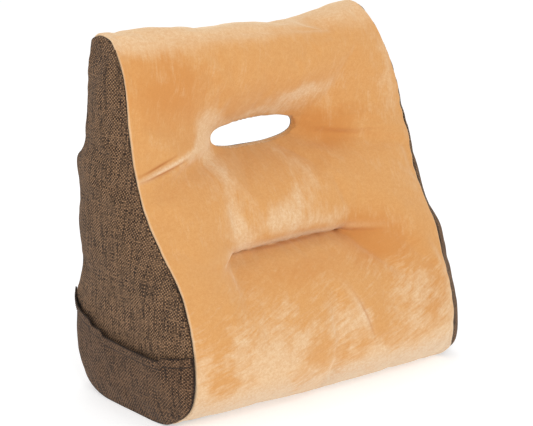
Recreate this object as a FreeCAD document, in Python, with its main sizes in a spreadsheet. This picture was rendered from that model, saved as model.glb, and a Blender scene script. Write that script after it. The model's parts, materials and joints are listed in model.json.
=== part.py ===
import FreeCAD, Part
import os
import Sketcher

# Lumbar support cushion: a stuffed wedge that stands on its flat base.
# Frame: +X across the cushion, -Y towards the sitter's back, +Z up. The origin is on the floor
# under the middle of the base. Sizes are in millimetres.

doc = FreeCAD.newDocument("LumbarCushion")

# --------------------------------------------------------------------------------- driving sizes
SIZES = [
    # width across the cushion, measured to the seams, and how far each side bulges past its seam
    ("seam_half_width", 225), ("left_bulge", 9), ("right_bulge", 12), ("side_bevel", 9),
    # side outline, corner by corner, with the radius that rounds each corner
    ("base_front_y", -139), ("base_front_radius", 55),
    ("lobe_y", -137), ("lobe_z", 112), ("lobe_radius", 60),
    ("waist_y", -6), ("waist_z", 320), ("waist_radius", 80),
    ("top_front_y", 8), ("top_front_radius", 30), ("top_z", 488),
    ("top_back_y", 82), ("top_back_radius", 25),
    ("upper_back_y", 120), ("upper_back_z", 300), ("upper_back_radius", 60),
    ("lower_back_y", 130), ("lower_back_z", 130), ("base_back_radius", 35),
    # layers, from the outside in
    ("cover_thickness", 2.5), ("air_gap", 3.5), ("liner_thickness", 1.5), ("fill_gap", 0.5),
    # grip slot through the upper part, and the dishes that lead to it
    ("slot_half_length", 75), ("slot_half_height", 20), ("slot_z", 328),
    ("slot_y", 43), ("slot_lining_depth", 16), ("tunnel_overrun", 1), ("lining_reach", 10),
    ("front_dish_mouth_y", -31), ("front_dish_reach", 43), ("front_dish_rise", 35),
    ("back_dish_mouth_y", 135), ("back_dish_reach", 39), ("back_dish_rise", 30),
    # stitched crease across the lower front
    ("crease_half_length", 96), ("crease_z", 198), ("crease_y", -40), ("crease_half_gap", 3),
    ("crease_mouth_y", -95), ("crease_mouth_reach", 44), ("crease_mouth_rise", 43),
    ("tuft_cord_radius", 1), ("strap_x", 60), ("strap_width", 20), ("strap_thickness", 1.2),
    ("back_tape_height", 20), ("back_tape_thickness", 1),
    # panel joints
    ("base_panel_front_y", -70), ("base_panel_back_y", 95), ("velour_back_z", 462),
    # piping on the back seams
    ("piping_width", 3), ("piping_height", 3), ("piping_low_z", 30), ("piping_front_y", 75),
    # pocket on the left side
    ("pocket_wall", 1.5), ("pocket_depth", 5.5), ("pocket_top_z", 150),
    ("pocket_base_z", 12), ("pocket_base_front_y", -95), ("pocket_base_back_y", 106),
    ("pocket_back_y", 120), ("pocket_back_z", 35), ("pocket_toe_y", -117), ("pocket_toe_z", 28),
    ("pocket_front_y", -125), ("pocket_front_low_z", 60), ("pocket_front_high_z", 100),
    ("pocket_shoulder_y", -116), ("pocket_shoulder_z", 120), ("hem_overrun", 10),
    ("hem_height", 10), ("hem_thickness", 1),
    ("hem_back_z", 133), ("hem_mid_z", 87), ("hem_front_z", 112),
    ("hem_mid_back_y", 30), ("hem_mid_front_y", -50),
    # zip across the lower back
    ("zip_z", 70), ("zip_half_length", 200), ("zip_window_half_height", 7),
    ("zip_tape_width", 13.5), ("zip_tape_thickness", 0.6), ("zip_tape_overrun", 8), ("zip_gap", 0.55),
    ("coil_width", 2), ("coil_height", 2), ("stop_length", 3), ("stop_height", 2.3),
    ("slider_length", 11), ("slider_half_width", 3.7), ("slider_plate", 1.2),
    ("slider_clearance", 0.15), ("slider_start_x", 189), ("lip_width", 1), ("neck_half_width", 0.4),
    ("neck_length", 3), ("bridge_half_width", 0.9), ("bridge_length", 7), ("bridge_height", 3.3),
    ("pull_pin_radius", 0.68), ("pull_pin_clearance", 0.07), ("pull_thickness", 1.2),
    ("pull_arm_width", 0.8), ("pull_arm_gap", 0.2), ("pull_arm_length", 7),
    ("pull_tab_length", 19), ("pull_tab_half_width", 3.2),
    # blank label sewn flat below the zip
    ("label_x", 150), ("label_z", 38), ("label_width", 35), ("label_height", 18),
    ("label_thickness", 0.4),
]

sheet = doc.addObject("Spreadsheet::Sheet", "Sizes")
for row, (alias, value) in enumerate(SIZES, start=1):
    sheet.set(f"A{row}", alias)
    sheet.set(f"B{row}", str(value))
    sheet.setAlias(f"B{row}", alias)
doc.recompute()


def bind(obj, **expressions):
    """Bind properties to sheet formulas; a size is written by its alias alone."""
    for name, formula in expressions.items():
        obj.setExpression(name.replace("__", "."), sized(formula))


def sized(formula):
    """Turn alias names in a formula into references to the sheet."""
    words = []
    word = ""
    for letter in formula + " ":
        if letter.isalnum() or letter == "_":
            word += letter
        else:
            words.append(f"Sizes.{word}" if word in ALIASES else word)
            words.append(letter)
            word = ""
    return "".join(words).strip()


ALIASES = {alias for alias, value in SIZES}
X, Y, Z = FreeCAD.Vector(1, 0, 0), FreeCAD.Vector(0, 1, 0), FreeCAD.Vector(0, 0, 1)
parts = []


# ---------------------------------------------------------------------------------- small helpers
def node(obj, name):
    """Give a finished sub-part its name and put it on the list that is written out."""
    obj.Label = name
    parts.append(obj)
    return obj


def box(name, x, y, z):
    """A box between two formulas along each axis."""
    solid = doc.addObject("Part::Box", name)
    for place, size, (low, high) in (("x", "Length", x), ("y", "Width", y), ("z", "Height", z)):
        solid.setExpression(f"Placement.Base.{place}", sized(low))
        solid.setExpression(size, sized(f"({high}) - ({low})"))
    return solid


def cylinder(name, radius, length, x, y, z, along):
    """A cylinder that starts at x, y, z and runs along X or Z."""
    solid = doc.addObject("Part::Cylinder", name)
    bind(solid, Radius=radius, Height=length)
    turn = FreeCAD.Rotation(Z, along)
    solid.Placement = FreeCAD.Placement(FreeCAD.Vector(), turn)
    bind(solid, Placement__Base__x=x, Placement__Base__y=y, Placement__Base__z=z)
    return solid


def wedge(name, y_wide, y_narrow, z, wide, narrow):
    """A four-sided funnel along Y about x = 0: half length and half height at each end."""
    solid = doc.addObject("Part::Wedge", name)
    bind(solid, Ymin=y_wide, Ymax=y_narrow)
    bind(solid, Xmin=f"-({wide[0]})", Xmax=wide[0], Zmin=f"{z} - ({wide[1]})", Zmax=f"{z} + {wide[1]}")
    bind(solid, X2min=f"-({narrow[0]})", X2max=narrow[0])
    bind(solid, Z2min=f"{z} - ({narrow[1]})", Z2max=f"{z} + {narrow[1]}")
    return solid


def cut(name, base, tool):
    """base less tool."""
    result = doc.addObject("Part::Cut", name)
    result.Base, result.Tool = base, tool
    return result


def common(name, base, tool):
    """The space that base and tool share."""
    result = doc.addObject("Part::Common", name)
    result.Base, result.Tool = base, tool
    return result


def fuse(name, shapes):
    """Several solids as one."""
    result = doc.addObject("Part::MultiFuse", name)
    result.Shapes = shapes
    return result


def polygon_body(name, corners, plane, lengths):
    """A body padded both ways from an origin plane, its outline's corners given as formulas."""
    body = doc.addObject("PartDesign::Body", name)
    sketch = body.newObject("Sketcher::SketchObject", f"{name}_outline")
    origin_plane = [item for item in body.Origin.OriginFeatures if item.Role == plane][0]
    sketch.AttachmentSupport = (origin_plane, [""])
    sketch.MapMode = "FlatFace"
    places = [[value_of(across), value_of(up)] for across, up in corners]
    count = len(corners)
    for index in range(count):
        start = FreeCAD.Vector(*places[index], 0)
        end = FreeCAD.Vector(*places[(index + 1) % count], 0)
        sketch.addGeometry(Part.LineSegment(start, end), False)
    for index in range(count):
        sketch.addConstraint(Sketcher.Constraint("Coincident", index, 2, (index + 1) % count, 1))
    for index, corner in enumerate(corners):
        for kind, place, formula in zip(("DistanceX", "DistanceY"), places[index], corner):
            rule = sketch.addConstraint(Sketcher.Constraint(kind, -1, 1, index, 1, place))
            sketch.setExpression(f"Constraints[{rule}]", sized(formula))
    pad = body.newObject("PartDesign::Pad", f"{name}_pad")
    pad.Profile = sketch
    pad.SideType = "Two sides"
    bind(pad, Length=lengths[0], Length2=lengths[1])
    doc.recompute()
    return body, pad


def value_of(formula):
    """The number that a formula of sheet sizes comes to."""
    total = 0.0
    for term in formula.replace("- ", "+ -").split("+"):
        term = term.strip()
        sign = -1.0 if term.startswith("-") else 1.0
        term = term.lstrip("-").strip()
        total += sign * (float(sheet.get(term)) if term in ALIASES else float(term))
    return total


# -------------------------------------------------------------------------- outer form and layers
OUTLINE = [
    ("base_front_y", "0", "base_front_radius"),
    ("lobe_y", "lobe_z", "lobe_radius"),
    ("waist_y", "waist_z", "waist_radius"),
    ("top_front_y", "top_z", "top_front_radius"),
    ("top_back_y", "top_z", "top_back_radius"),
    ("upper_back_y", "upper_back_z", "upper_back_radius"),
    ("lower_back_y", "lower_back_z", None),
    ("lower_back_y", "0", "base_back_radius"),
]


def edge_through(shape, across, up):
    """The name of the lengthwise edge at one corner of the outline."""
    for index, edge in enumerate(shape.Edges, start=1):
        middle = edge.valueAt((edge.FirstParameter + edge.LastParameter) / 2)
        if abs(middle.y - across) < 0.001 and abs(middle.z - up) < 0.001:
            return f"Edge{index}"
    raise ValueError(f"no edge at {across}, {up}")


cushion_form, last = polygon_body(
    "cushion_form", [corner[:2] for corner in OUTLINE], "YZ_Plane",
    ("seam_half_width + right_bulge", "seam_half_width + left_bulge"))
for across, up, radius in OUTLINE:
    if radius is None:
        continue
    rounding = cushion_form.newObject("PartDesign::Fillet", f"round_{radius}")
    rounding.Base = (last, [edge_through(last.Shape, value_of(across), value_of(up))])
    bind(rounding, Radius=radius)
    doc.recompute()
    last = rounding


def grown_form(name, distance):
    """The outer form grown or shrunk by a formula, before its sides are bevelled."""
    form = doc.addObject("Part::Offset", name)
    form.Source = cushion_form
    form.Mode = 0
    form.Join = 2
    bind(form, Value=distance)
    doc.recompute()
    return form


def bevelled(name, form):
    """The form with the edges of its two side faces bevelled, so that each side bulges."""
    bounds = form.Shape.BoundBox
    edges = []
    for index, edge in enumerate(form.Shape.Edges, start=1):
        ends = [vertex.Point.x for vertex in edge.Vertexes]
        at_left = all(abs(end - bounds.XMin) < 0.01 for end in ends)
        at_right = all(abs(end - bounds.XMax) < 0.01 for end in ends)
        if at_left or at_right:
            bevel = float(sheet.get("side_bevel"))
            edges.append((index, bevel, bevel))
    chamfer = doc.addObject("Part::Chamfer", name)
    chamfer.Base = form
    chamfer.Edges = edges
    return chamfer


def hollows(name, inset):
    """Everything that is drawn in: both dishes, the slot's tunnel and the front crease."""
    slot = (f"slot_half_length + {inset}", f"slot_half_height + {inset}")
    front_end = "slot_y - slot_lining_depth / 2"
    back_end = "slot_y + slot_lining_depth / 2"
    front_dish = wedge(
        f"{name}_front_dish", "front_dish_mouth_y", front_end, "slot_z",
        (f"{slot[0]} + front_dish_reach", f"{slot[1]} + front_dish_rise"), slot)
    back_dish = wedge(
        f"{name}_back_dish", back_end, "back_dish_mouth_y", "slot_z", slot,
        (f"{slot[0]} + back_dish_reach", f"{slot[1]} + back_dish_rise"))
    straight = "(slot_half_length - slot_half_height)"
    tunnel_box = box(
        f"{name}_tunnel_middle", (f"-{straight}", straight),
        (f"{front_end} - tunnel_overrun", f"{back_end} + tunnel_overrun"),
        (f"slot_z - ({slot[1]})", f"slot_z + {slot[1]}"))
    ends = []
    for side in ("-", ""):
        end = doc.addObject("Part::Cylinder", f"{name}_tunnel_end")
        end.Placement = FreeCAD.Placement(FreeCAD.Vector(), FreeCAD.Rotation(Z, Y))
        bind(end, Radius=slot[1], Height="slot_lining_depth + 2 * tunnel_overrun",
             Placement__Base__x=f"{side}{straight}",
             Placement__Base__y=f"{front_end} - tunnel_overrun", Placement__Base__z="slot_z")
        ends.append(end)
    crease = wedge(
        f"{name}_crease", "crease_mouth_y", f"crease_y + {inset}", "crease_z",
        (f"crease_half_length + crease_mouth_reach + {inset}",
         f"crease_half_gap + crease_mouth_rise + {inset}"),
        (f"crease_half_length + {inset}", f"crease_half_gap + {inset}"))
    return fuse(f"{name}_hollows", [front_dish, back_dish, tunnel_box, *ends, crease])


def layer(name, inset):
    """The whole cushion's shape at a depth under its outside surface."""
    form = cushion_form if inset == "0" else grown_form(f"{name}_form", f"-({inset})")
    return cut(name, bevelled(f"{name}_block", form), hollows(name, inset))


LINER_OUT = "(cover_thickness + air_gap)"
LINER_IN = "(cover_thickness + air_gap + liner_thickness)"
FILL_OUT = "(cover_thickness + air_gap + liner_thickness + fill_gap)"
cover_shell = cut("cover_shell", layer("cover_outside", "0"), layer("cover_inside", "cover_thickness"))
liner_shell = cut("liner_shell", layer("liner_outside", LINER_OUT), layer("liner_inside", LINER_IN))
filling = layer("filling", FILL_OUT)

# ------------------------------------------------------------------------------------ cover panels
WIDE = ("-seam_half_width", "seam_half_width")
# regions that pick out a stretch of a layer reach well past the cushion on every other side
FAR, BELOW, ABOVE = "300", "-5", "600"
ALL_X, ALL_Y, ALL_Z = (f"-{FAR}", FAR), (f"-{FAR}", FAR), (BELOW, ABOVE)
left_region = box("left_region", (f"-{FAR}", "-seam_half_width"), ALL_Y, ALL_Z)
right_region = box("right_region", ("seam_half_width", FAR), ALL_Y, ALL_Z)
band_region = box("band_region", WIDE, ALL_Y, ALL_Z)
base_region = box(
    "base_region", WIDE, ("base_panel_front_y", "base_panel_back_y"), (BELOW, "2 * cover_thickness"))
back_low_region = box("back_low_region", WIDE, ("base_panel_back_y", FAR), (BELOW, "zip_z"))
BACK_FRONT_Y = "slot_y + slot_lining_depth / 2"
back_high_region = box("back_high_region", WIDE, (BACK_FRONT_Y, FAR), ("zip_z", "velour_back_z"))
lining_region = box(
    "lining_region", ("-slot_half_length - lining_reach", "slot_half_length + lining_reach"),
    ("slot_y - slot_lining_depth / 2", BACK_FRONT_Y),
    ("slot_z - slot_half_height - lining_reach", "slot_z + slot_half_height + lining_reach"))
zip_window = box(
    "zip_window", ("-zip_half_length", "zip_half_length"), ("base_panel_back_y", FAR),
    ("zip_z - zip_window_half_height", "zip_z + zip_window_half_height"))

band = common("cover_band", cover_shell, band_region)
node(common("left_side_cut", cover_shell, left_region), "left_side_panel")
node(common("right_side_cut", cover_shell, right_region), "right_side_panel")
node(common("base_cut", band, base_region), "base_panel")
node(common("lining_cut", band, lining_region), "grip_slot_lining")
back_low = common("back_low", band, back_low_region)
back_high = common("back_high", band, back_high_region)
node(cut("back_low_cut", back_low, zip_window), "back_panel_lower")
node(cut("back_high_cut", back_high, zip_window), "back_panel_upper")
not_front = fuse("not_front", [base_region, back_low_region, back_high_region, lining_region])
node(cut("front_cut", band, not_front), "front_panel")

# --------------------------------------------------------------- inner case and the filling in it
CASE_WIDE = (f"-seam_half_width + {LINER_OUT}", f"seam_half_width - {LINER_OUT}")
strap_slots = []
straps = []
for side in ("-", ""):
    middle = f"{side}strap_x"
    slot_x = (f"{middle} - strap_width / 2 - 1", f"{middle} + strap_width / 2 + 1")
    slot_z = ("crease_z - strap_thickness", "crease_z + strap_thickness")
    strap_slots.append(box("strap_slot", slot_x, ("crease_y", FAR), slot_z))
    strap_x = (f"{middle} - strap_width / 2", f"{middle} + strap_width / 2")
    straps.append(strap_x)
slotted_liner = cut("slotted_liner", liner_shell, fuse("strap_slots", strap_slots))
left_case = box("left_case", (f"-{FAR}", CASE_WIDE[0]), ALL_Y, ALL_Z)
right_case = box("right_case", (CASE_WIDE[1], FAR), ALL_Y, ALL_Z)
middle_case = box("middle_case", CASE_WIDE, ALL_Y, ALL_Z)
node(common("liner_left_cut", slotted_liner, left_case), "liner_left_side")
node(common("liner_right_cut", slotted_liner, right_case), "liner_right_side")
node(common("liner_middle_cut", slotted_liner, middle_case), "liner_wrap")

TUNNEL_RISE = f"(slot_half_height + {FILL_OUT})"
TUNNEL_REACH = f"(slot_half_length + {FILL_OUT})"
SLOT_BAND = (f"slot_z - {TUNNEL_RISE}", f"slot_z + {TUNNEL_RISE}")
FILL_BLOCKS = {
    "fill_base": (ALL_X, (BELOW, "crease_z - strap_thickness")),
    "fill_lumbar": (ALL_X, ("crease_z + strap_thickness", SLOT_BAND[0])),
    "fill_slot_left": ((f"-{FAR}", f"-{TUNNEL_REACH}"), SLOT_BAND),
    "fill_slot_right": ((TUNNEL_REACH, FAR), SLOT_BAND),
    "fill_top": (ALL_X, (SLOT_BAND[1], ABOVE)),
}
for name, (x, z) in FILL_BLOCKS.items():
    node(common(f"{name}_cut", filling, box(f"{name}_region", x, ALL_Y, z)), name)

# --------------------------------------------------- stitched crease: cord, inside straps and tape
node(cylinder("tuft_cord", "tuft_cord_radius", "2 * crease_half_length", "-crease_half_length",
              "crease_y - tuft_cord_radius", "crease_z", X), "tuft_line")
# the back wall leans, so the tape stands just clear of the wall at its own top edge
lean = "(lower_back_y - upper_back_y) / (upper_back_z - lower_back_z)"
BACK_WALL = f"(lower_back_y - {lean} * (crease_z + back_tape_height / 2 - lower_back_z) - cover_thickness)"
TAPE_BACK = f"({BACK_WALL} - 0.3)"
TAPE_FRONT = f"({BACK_WALL} - 0.3 - back_tape_thickness)"
TAPE_REACH = "(strap_x + strap_width)"
node(box("back_tape", (f"-{TAPE_REACH}", TAPE_REACH), (TAPE_FRONT, TAPE_BACK),
         ("crease_z - back_tape_height / 2", "crease_z + back_tape_height / 2")), "tuft_back_tape")
strap_boxes = []
for strap_x in straps:
    strap_boxes.append(box("strap", strap_x, ("crease_y + cover_thickness", TAPE_FRONT),
                           ("crease_z - strap_thickness / 2", "crease_z + strap_thickness / 2")))
node(fuse("straps", strap_boxes), "tuft_tie_straps")

# ------------------------------------------------------------------------------------ back piping
piping_form = cut("piping_form", grown_form("piping_outside", "piping_height"), cushion_form)
for side in ("left", "right"):
    middle = "-seam_half_width" if side == "left" else "seam_half_width"
    run = box(f"{side}_piping_run", (f"{middle} - piping_width / 2", f"{middle} + piping_width / 2"),
              ("piping_front_y", FAR), ("piping_low_z", "velour_back_z"))
    node(common(f"{side}_piping_cut", piping_form, run), f"{side}_back_piping")

# ------------------------------------------------------------------------------------ side pocket
GUSSET_X = "(-seam_half_width - left_bulge)"
POCKET_OUT = f"({GUSSET_X} - pocket_depth - pocket_wall)"
POCKET_IN = f"({GUSSET_X} - pocket_depth)"


def below_hem(name, drop):
    """The space below the pocket's curved mouth, less a drop."""
    line = [
        ("lower_back_y + hem_overrun", "hem_back_z"), ("hem_mid_back_y", "hem_mid_z"),
        ("hem_mid_front_y", "hem_mid_z"), ("base_front_y - hem_overrun", "hem_front_z")]
    corners = [("base_front_y - hem_overrun", BELOW), ("lower_back_y + hem_overrun", BELOW)]
    corners += [(across, f"{up}{drop}") for across, up in line]
    return polygon_body(name, corners, "YZ_Plane", ("1", FAR))[0]


POCKET_OUTLINE = [
    ("pocket_base_front_y", "pocket_base_z"), ("pocket_base_back_y", "pocket_base_z"),
    ("pocket_back_y", "pocket_back_z"), ("pocket_back_y", "pocket_top_z"),
    ("pocket_shoulder_y", "pocket_top_z"), ("pocket_shoulder_y", "pocket_shoulder_z"),
    ("pocket_front_y", "pocket_front_high_z"), ("pocket_front_y", "pocket_front_low_z"),
    ("pocket_toe_y", "pocket_toe_z")]
pocket_outline = polygon_body("pocket_outline", POCKET_OUTLINE, "YZ_Plane", ("1", FAR))[0]
pocket_inner = doc.addObject("Part::Offset", "pocket_inner")
pocket_inner.Source = pocket_outline
pocket_inner.Mode = 0
pocket_inner.Join = 2
bind(pocket_inner, Value="-pocket_wall")
under_hem = below_hem("under_hem", "")
under_band = below_hem("under_band", " - hem_height")
pouch = common("pouch", common("pouch_slab", pocket_outline, box(
    "pouch_run", (POCKET_OUT, GUSSET_X), ALL_Y, ALL_Z)), under_hem)
pouch_hollow = common("pouch_hollow", pocket_inner, box(
    "hollow_run", (POCKET_IN, GUSSET_X), ALL_Y, ALL_Z))
node(cut("pocket_cut", pouch, pouch_hollow), "side_pocket")
hem_slab = common("hem_slab", pocket_outline, box(
    "hem_run", (f"{POCKET_OUT} - hem_thickness", POCKET_OUT), ALL_Y, ALL_Z))
node(cut("hem_cut", common("hem_under", hem_slab, under_hem), under_band), "pocket_hem")

# -------------------------------------------------------------------------------------------- zip
COVER_IN = "(lower_back_y - cover_thickness)"
TAPE_IN = f"({COVER_IN} - zip_tape_thickness)"
COIL_OUT = f"({COVER_IN} + coil_height)"
TOP_PLATE = (f"{COIL_OUT} + slider_clearance", f"{COIL_OUT} + slider_clearance + slider_plate")
LOW_PLATE = (f"{TAPE_IN} - 2 * slider_clearance - slider_plate", f"{TAPE_IN} - 2 * slider_clearance")
for name, sign in (("upper", 1), ("lower", -1)):
    tape_z = ("zip_z + zip_gap", "zip_z + zip_gap + zip_tape_width")
    coil_z = ("zip_z + zip_gap", "zip_z + zip_gap + coil_width")
    if sign < 0:
        tape_z = ("zip_z - zip_gap - zip_tape_width", "zip_z - zip_gap")
        coil_z = ("zip_z - zip_gap - coil_width", "zip_z - zip_gap")
    node(box(f"{name}_tape", ("-zip_half_length - zip_tape_overrun", "zip_half_length + zip_tape_overrun"),
             (TAPE_IN, COVER_IN), tape_z), f"zip_tape_{name}")
    node(box(f"{name}_coil", ("-zip_half_length + stop_length", "zip_half_length - stop_length"),
             (COVER_IN, COIL_OUT), coil_z), f"zip_coil_{name}")
TEETH = "(zip_gap + coil_width)"
STOP_Y = (COVER_IN, f"{COVER_IN} + stop_height")
top_stops = []
for name, z in (("upper", ("zip_z + zip_gap", f"zip_z + {TEETH}")),
                ("lower", (f"zip_z - {TEETH}", "zip_z - zip_gap"))):
    top_stops.append(box(f"{name}_top_stop", ("zip_half_length - stop_length", "zip_half_length"),
                         STOP_Y, z))
node(fuse("top_stops", top_stops), "zip_top_stops")
node(box("bottom_stop", ("-zip_half_length", "-zip_half_length + stop_length"), STOP_Y,
         (f"zip_z - {TEETH}", f"zip_z + {TEETH}")), "zip_bottom_stop")

SLIDER_X = ("slider_start_x - slider_length / 2", "slider_start_x + slider_length / 2")
SLIDER_Z = ("zip_z - slider_half_width", "zip_z + slider_half_width")
PIN_Y = f"({COIL_OUT} + slider_clearance + slider_plate + bridge_height / 2)"
plates = [box("top_plate", SLIDER_X, TOP_PLATE, SLIDER_Z), box("low_plate", SLIDER_X, LOW_PLATE, SLIDER_Z)]
LIP_Y = (f"{COVER_IN} + slider_clearance", TOP_PLATE[0])
plates.append(box("upper_lip", SLIDER_X, LIP_Y, ("zip_z + slider_half_width - lip_width", SLIDER_Z[1])))
plates.append(box("lower_lip", SLIDER_X, LIP_Y, (SLIDER_Z[0], "zip_z - slider_half_width + lip_width")))
plates.append(box("neck", (f"{SLIDER_X[1]} - neck_length", SLIDER_X[1]), (LOW_PLATE[1], TOP_PLATE[0]),
                  ("zip_z - neck_half_width", "zip_z + neck_half_width")))
plates.append(box(
    "bridge", ("slider_start_x - bridge_length / 2", "slider_start_x + bridge_length / 2"),
    (TOP_PLATE[1], f"{TOP_PLATE[1]} + bridge_height"),
    ("zip_z - bridge_half_width", "zip_z + bridge_half_width")))
pin_bore = cylinder("pin_bore", "pull_pin_radius + pull_pin_clearance", "2 * bridge_half_width + 2",
                    "slider_start_x", PIN_Y, "zip_z - bridge_half_width - 1", Z)
node(cut("slider_cut", fuse("slider_block", plates), pin_bore), "zip_slider")

ARM_IN = "(bridge_half_width + pull_arm_gap)"
ARM_OUT = "(bridge_half_width + pull_arm_gap + pull_arm_width)"
PULL_Y = (f"{PIN_Y} - pull_thickness / 2", f"{PIN_Y} + pull_thickness / 2")
pull_pieces = [cylinder("pull_pin", "pull_pin_radius", f"2 * {ARM_OUT}", "slider_start_x", PIN_Y,
                        f"zip_z - {ARM_OUT}", Z)]
for z in ((f"zip_z + {ARM_IN}", f"zip_z + {ARM_OUT}"), (f"zip_z - {ARM_OUT}", f"zip_z - {ARM_IN}")):
    pull_pieces.append(box("pull_arm", ("slider_start_x - pull_arm_length", "slider_start_x"), PULL_Y, z))
pull_pieces.append(box(
    "pull_tab", ("slider_start_x - pull_arm_length - pull_tab_length", "slider_start_x - pull_arm_length"),
    PULL_Y, ("zip_z - pull_tab_half_width", "zip_z + pull_tab_half_width")))
node(fuse("pull_fused", pull_pieces), "zip_pull")

# ------------------------------------------------------------------------------------ blank label
node(box("label", ("label_x", "label_x + label_width"), ("lower_back_y", "lower_back_y + label_thickness"),
         ("label_z", "label_z + label_height")), "care_label")

# --------------------------------------------------------------------------------- check and write
doc.recompute()
for item in doc.Objects:
    if "Invalid" in item.State or "Error" in item.State:
        raise RuntimeError(f"{item.Name} is {item.State}")
os.makedirs("parts", exist_ok=True)
for item in parts:
    if item.Shape.isNull() or not item.Shape.isValid() or not item.Shape.Solids:
        raise RuntimeError(f"{item.Label} has no valid solid")
    print(item.Label, len(item.Shape.Solids), round(item.Shape.Volume))
for item in parts:
    item.Shape.exportStep(f"parts/{item.Label}.step")
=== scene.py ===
import json
import math

import bmesh
import bpy
import numpy as np
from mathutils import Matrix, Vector, noise
from mathutils.bvhtree import BVHTree
from mathutils.kdtree import KDTree


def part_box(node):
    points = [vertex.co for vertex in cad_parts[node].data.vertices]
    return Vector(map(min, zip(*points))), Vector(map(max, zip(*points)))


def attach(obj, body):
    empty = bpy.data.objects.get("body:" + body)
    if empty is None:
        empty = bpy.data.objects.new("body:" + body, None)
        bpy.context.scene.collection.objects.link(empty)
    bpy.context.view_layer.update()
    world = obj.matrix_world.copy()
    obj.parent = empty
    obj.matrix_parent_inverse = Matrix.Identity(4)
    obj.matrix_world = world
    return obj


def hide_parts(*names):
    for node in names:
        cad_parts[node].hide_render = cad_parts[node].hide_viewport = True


# A stuffed wedge-shaped back cushion: velour front, woven sides, grip slot, stitched crease,
# side pocket and a zip across the lower back. Every length in this script is in millimetres until
# it is made into a mesh, which is in metres.

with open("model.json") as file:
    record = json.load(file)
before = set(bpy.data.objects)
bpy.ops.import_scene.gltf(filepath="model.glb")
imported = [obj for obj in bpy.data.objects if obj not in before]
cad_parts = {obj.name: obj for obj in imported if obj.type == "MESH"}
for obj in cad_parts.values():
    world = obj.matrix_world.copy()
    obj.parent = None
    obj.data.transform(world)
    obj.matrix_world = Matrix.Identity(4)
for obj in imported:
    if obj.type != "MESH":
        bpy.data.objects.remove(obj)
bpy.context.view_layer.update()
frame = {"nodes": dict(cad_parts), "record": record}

MM = 0.001
ROOT = "cushion"


def node_box(name):
    """Lowest and highest corner of a CAD node, in millimetres."""
    return [[value / MM for value in corner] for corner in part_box(name)]


# ---------------------------------------------------------------------------- sizes from the frame
SEAM_X = node_box("front_panel")[1][0]
lining_low, lining_high = node_box("grip_slot_lining")
SLOT_Z = (lining_low[2] + lining_high[2]) / 2
SLOT_FRONT_Y, SLOT_BACK_Y = lining_low[1] + 3, lining_high[1] - 4
SLOT_HALF_LENGTH = lining_high[0] - 5.5
SLOT_HALF_HEIGHT = (lining_high[2] - lining_low[2]) / 2 - 4.5
SLOT_SQUARENESS = 2.5
# the stitched crease and the dimple behind it
tuft_low, tuft_high = node_box("tuft_line")
TUFT_X, TUFT_Y, TUFT_Z = -12.0, tuft_high[1] + 2, (tuft_low[2] + tuft_high[2]) / 2
TUFT_HALF = tuft_high[0] - 3
BACK_TUFT_Z = TUFT_Z - 6
# the flat run that the zip is sewn into
stop_low, stop_high = node_box("zip_bottom_stop")
ZIP_Z = (stop_low[2] + stop_high[2]) / 2
ZIP_HALF = -stop_low[0]
ZIP_WINDOW = 7.0
COVER_Y = node_box("zip_tape_upper")[1][1] + 2.5
# how far the side panels bulge out, and within what distance of their seams they do
LEFT_FORM = {"bulge": 11.0, "edge": 26.0}
RIGHT_FORM = {"bulge": 31.0, "edge": 7.0, "flat_from": 180, "dent": 0.22}
BACK_EDGE = 28.0
# depths of the liner and the filling under the cover, and how full the cushion is stuffed
LINER_DEPTH, FILLING_DEPTH, FILL = 8.5, 11, 0.8
# how far from the middle a search for the cloth starts, outside the cushion on every side
FAR = 400

# ------------------------------------------------------------------------------- side outline
# The outline of the left side, (y, z), in four runs that meet at its corners.
FRONT_RUN = [(-92, 14), (-117, 33), (-127, 60), (-127, 98), (-119, 140), (-100, 184), (-66, 223),
             (-38, 258), (-15, 298), (-3, 336), (2, 374), (8, 412), (18, 446), (28, 463)]
TOP_RUN = [(28, 463), (41, 477), (60, 481), (77, 474)]
BACK_RUN = [(77, 474), (86, 448), (93, 408), (99, 366), (99, 340), (105, 328), (116, 318), (120, 302),
            (121, 262), (121, 222), (115, 194), (112, 178), (118, 156), (127, 130), (125, 108),
            (127, 76), (123, 50), (113, 30)]
BASE_RUN = [(113, 30), (97, 12), (70, 2), (30, 0), (-40, 0), (-72, 4), (-92, 14)]
LENGTHWISE, ACROSS_SIDE, COLUMNS = 84, 30, 76
TOP_START, BACK_START = LENGTHWISE, LENGTHWISE + ACROSS_SIDE
BASE_START = BACK_START + LENGTHWISE
ROWS = BASE_START + ACROSS_SIDE


def closed_curve(points, samples):
    """Points along a smooth closed curve through the given ones, so many from each to the next."""
    count = len(points)
    dense = []
    for index in range(count):
        p0, p1, p2, p3 = (np.array(points[(index + k - 1) % count], float) for k in range(4))
        t1 = np.linalg.norm(p1 - p0) ** 0.5
        t2 = t1 + np.linalg.norm(p2 - p1) ** 0.5
        t3 = t2 + np.linalg.norm(p3 - p2) ** 0.5
        for step in range(samples):
            t = t1 + (t2 - t1) * step / samples
            a1 = p0 + (p1 - p0) * t / t1
            a2 = p1 + (p2 - p1) * (t - t1) / (t2 - t1)
            a3 = p2 + (p3 - p2) * (t - t2) / (t3 - t2)
            b1 = a1 + (a2 - a1) * t / t2
            b2 = a2 + (a3 - a2) * (t - t1) / (t3 - t1)
            dense.append(b1 + (b2 - b1) * (t - t1) / (t2 - t1))
    return np.array(dense + dense[:1])


def evenly(path, count):
    """count + 1 points spaced evenly along a path."""
    steps = np.linalg.norm(np.diff(path, axis=0), axis=1)
    reach = np.concatenate([[0], np.cumsum(steps)])
    places = np.linspace(0, reach[-1], count + 1)
    return np.stack([np.interp(places, reach, path[:, k]) for k in range(path.shape[1])], 1)


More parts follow.
